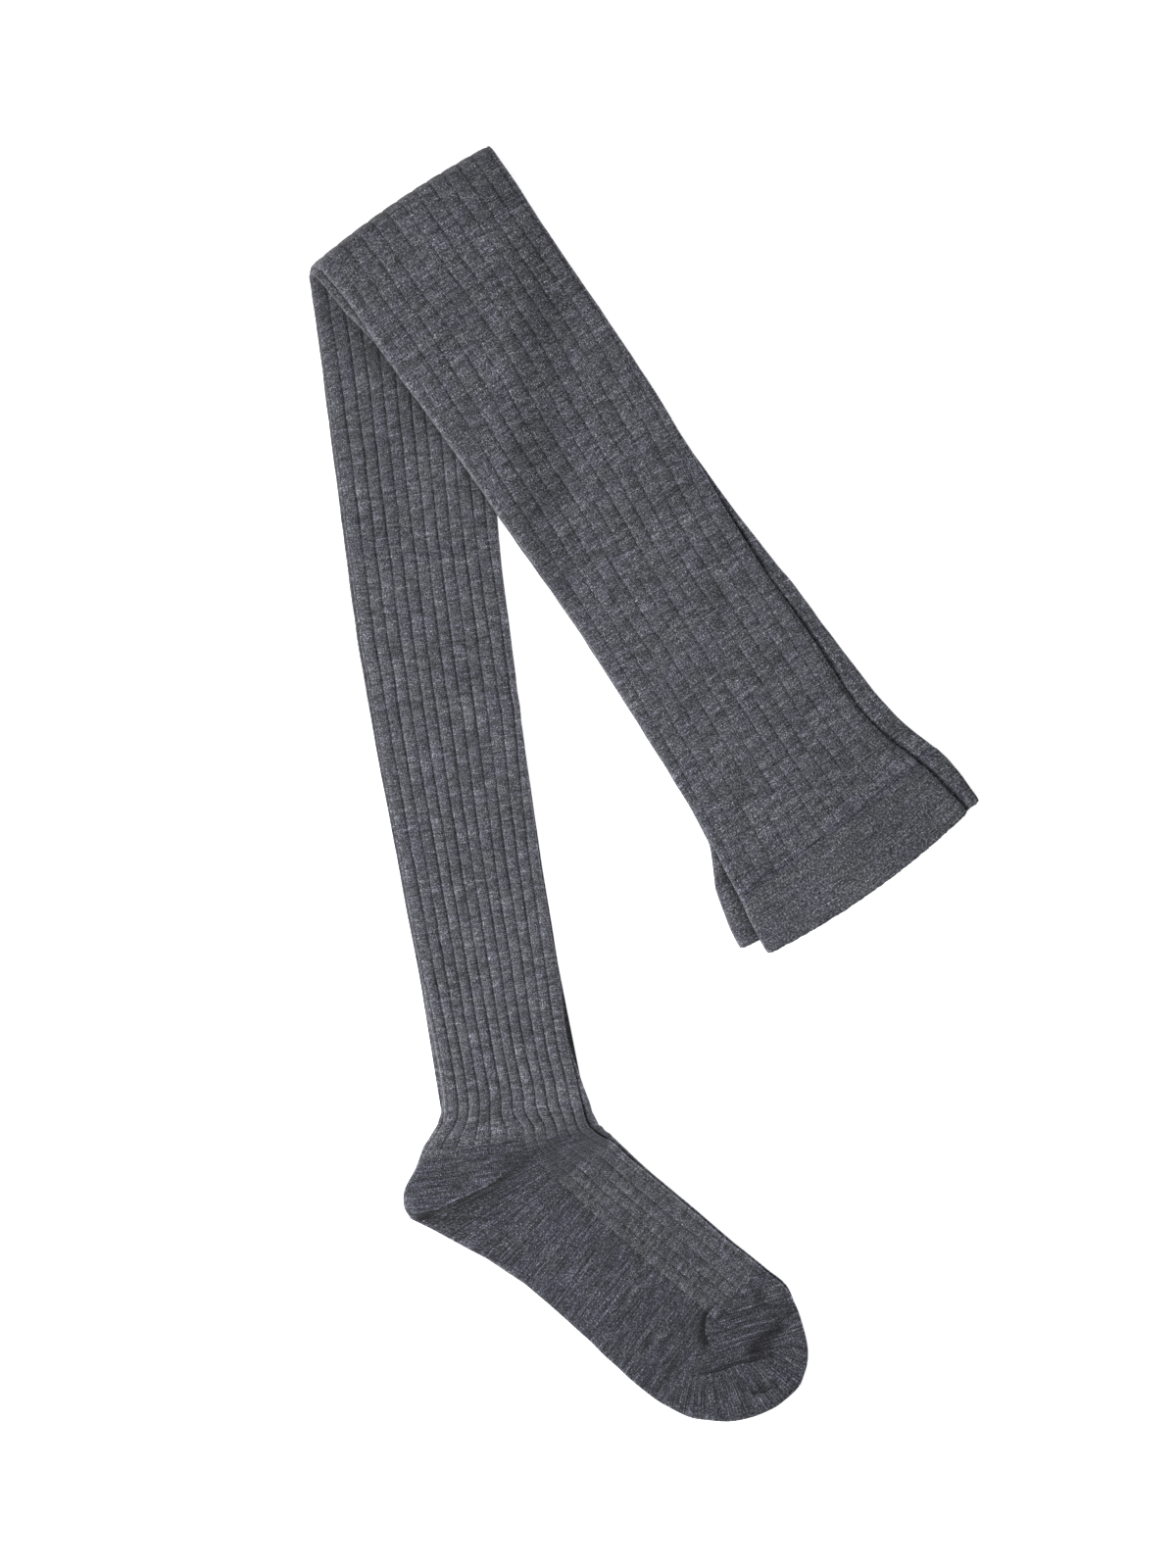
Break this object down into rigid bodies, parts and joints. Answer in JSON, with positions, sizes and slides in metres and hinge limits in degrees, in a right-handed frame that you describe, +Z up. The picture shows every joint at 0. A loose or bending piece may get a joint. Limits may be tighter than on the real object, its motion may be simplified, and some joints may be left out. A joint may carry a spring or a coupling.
{
  "type": "pair of socks",
  "caption": "Pair of long ribbed wool socks in heather grey, laid flat one on the other and folded over once, with the welts lying beside the legs.",
  "frame": {"origin": "middle of the bounding box's underside, on the surface the pair lies on", "axes": "+Z up from that surface, +Y along the legs from the toes to the fold, +X towards the welts"},
  "size_m": [0.3412, 0.6486, 0.0129],
  "materials": {
    "heather_wool": "matt heather rib knit"
  },
  "bodies": {
    "root": {"sock_inner": "heather_wool", "sock_outer": "heather_wool"}
  },
  "joints": []
}
